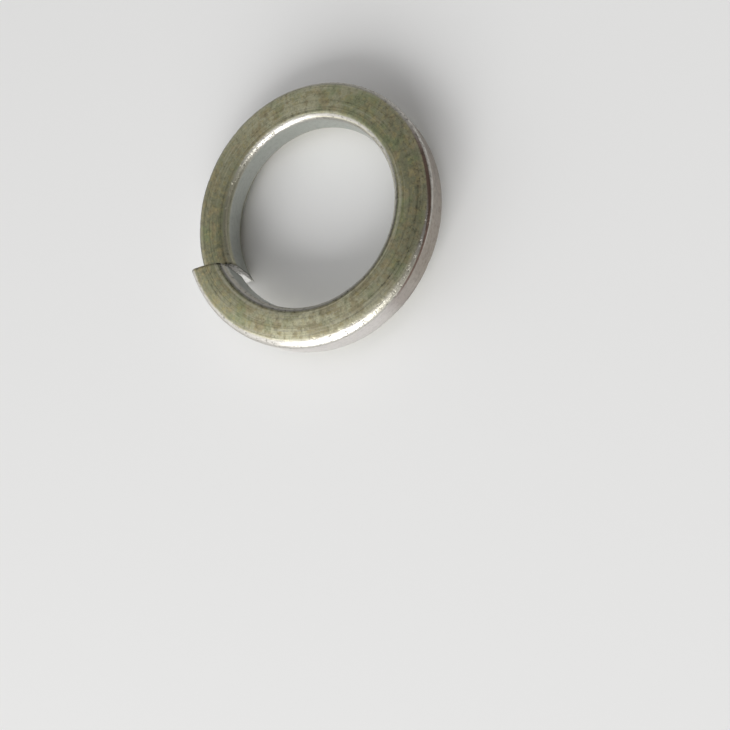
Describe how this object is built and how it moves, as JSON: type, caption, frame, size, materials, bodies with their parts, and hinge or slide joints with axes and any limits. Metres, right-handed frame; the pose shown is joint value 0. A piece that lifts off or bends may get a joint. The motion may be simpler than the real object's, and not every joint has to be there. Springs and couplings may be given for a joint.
{
  "type": "spring lock washer",
  "caption": "Split spring lock washer: a left-handed coil of near-square steel section with a skewed cut and two sharp offset ends, which keeps a bolt or nut from turning back.",
  "frame": {"origin": "on the axis of the bore, at the height of the washer's lowest point", "axes": "+Z along the bore, up; the split faces -Y; seen from above, the coil climbs clockwise from the split"},
  "size_m": [0.017, 0.017, 0.0039],
  "materials": {
    "steel": "plain drawn and sheared spring steel, olive grey, with bright rounded edges"
  },
  "bodies": {
    "root": {"lock_washer": "steel"}
  },
  "joints": []
}
